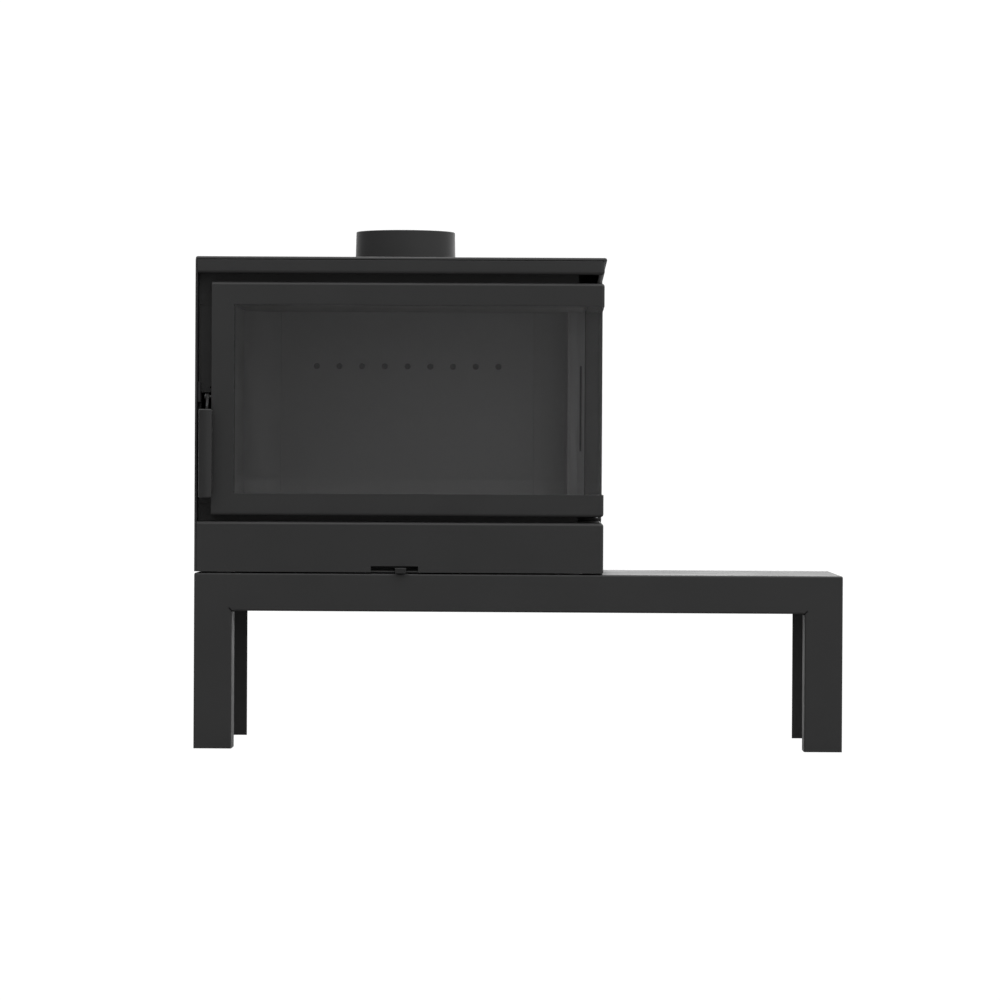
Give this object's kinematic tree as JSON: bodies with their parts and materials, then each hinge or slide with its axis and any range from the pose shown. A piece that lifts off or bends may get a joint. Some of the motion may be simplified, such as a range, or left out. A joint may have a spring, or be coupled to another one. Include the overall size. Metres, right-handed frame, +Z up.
{
  "type": "wood burning stove",
  "caption": "Corner-window wood burning stove with an L-shaped glass door, standing at the left end of a long low steel bench; flue collar on top.",
  "frame": {"origin": "middle of the whole object's footprint, on the floor", "axes": "+X along the bench from the stove's end to its free end, +Y from the window to the rear, +Z up"},
  "size_m": [1.265, 0.47, 1.02],
  "materials": {
    "black_steel": "matt black powder coat",
    "firebox_steel": "matt heat-proof paint",
    "liner_plate": "smooth dark liner plate",
    "firebrick": "dark pressed board",
    "cast_iron": "as cast",
    "stove_glass": "clear ceramic glass",
    "rope_seal": "flat woven glass rope",
    "bare_steel": "plain steel",
    "handle_steel": "satin black"
  },
  "bodies": {
    "stove_body": {"bench_top": "black_steel", "bench_front_frame": "black_steel", "bench_rear_frame": "black_steel", "bench_left_apron": "black_steel", "bench_right_apron": "black_steel", "bench_stiffener": "black_steel", "base_panel": "black_steel", "base_floor": "black_steel", "left_side_panel": "black_steel", "rear_panel": "black_steel", "right_rear_panel": "black_steel", "header_band": "black_steel", "top_plate": "black_steel", "flue_collar": "black_steel", "catch_plate": "black_steel", "hinge_bracket_lower": "black_steel", "hinge_bracket_upper": "black_steel", "firebox_floor": "firebox_steel", "firebox_roof": "firebox_steel", "firebox_left_wall": "firebox_steel", "firebox_rear_wall": "firebox_steel", "seal_frame_bottom": "firebox_steel", "seal_frame_top": "firebox_steel", "seal_frame_left": "firebox_steel", "rear_jamb": "firebox_steel", "ash_box": "firebox_steel", "air_box": "firebox_steel", "left_liner": "liner_plate", "right_liner": "liner_plate", "back_liner": "liner_plate", "hearth_plate": "firebrick", "levelling_foot_front_left": "bare_steel", "levelling_foot_front_right": "bare_steel", "levelling_foot_rear_left": "bare_steel", "levelling_foot_rear_right": "bare_steel"},
    "door": {"door_bottom_rail": "black_steel", "door_top_rail": "black_steel", "door_left_stile": "black_steel", "door_rear_stile": "black_steel", "front_glass": "stove_glass", "side_glass": "stove_glass", "glass_retainer_bottom": "firebox_steel", "glass_retainer_top": "firebox_steel", "door_seal_bottom": "rope_seal", "door_seal_top": "rope_seal", "door_seal_left": "rope_seal", "door_seal_rear": "rope_seal", "stile_screw_lower": "firebox_steel", "stile_screw_upper": "firebox_steel", "hinge_pin_lower": "bare_steel", "hinge_pin_upper": "bare_steel"},
    "handle": {"handle_grip": "handle_steel", "handle_arm": "handle_steel", "latch_hook": "black_steel", "handle_spindle": "handle_steel"},
    "baffle": {"baffle": "firebrick"},
    "grate": {"grate": "cast_iron"},
    "ash_pan": {"ash_pan": "firebox_steel"},
    "air_control": {"air_slide": "black_steel"}
  },
  "joints": [
    {"name": "door_swing", "type": "hinge", "parent": "stove_body", "child": "door", "pos_m": [0.1535, 0.18, 0.6831], "axis": [0, 0, 1], "range_deg": [0, 100]},
    {"name": "handle_pull", "type": "hinge", "parent": "door", "child": "handle", "pos_m": [-0.6081, -0.193, 0.6862], "axis": [-1, 0, 0], "range_deg": [0, 35]},
    {"name": "air_slide_travel", "type": "slide", "parent": "stove_body", "child": "air_control", "axis": [1, 0, 0], "range_m": [-0.046, 0.022]},
    {"name": "baffle_lift", "type": "slide", "parent": "stove_body", "child": "baffle", "axis": [0, 0, 1], "range_m": [0, 0.015]},
    {"name": "grate_lift", "type": "slide", "parent": "stove_body", "child": "grate", "axis": [0, 0, 1], "range_m": [0, 0.3]},
    {"name": "ash_pan_lift", "type": "slide", "parent": "stove_body", "child": "ash_pan", "axis": [0, 0, 1], "range_m": [0, 0.3]}
  ],
  "couplings": [
    {"joint": "ash_pan_lift", "follows": "grate_lift", "ratio": 1}
  ]
}
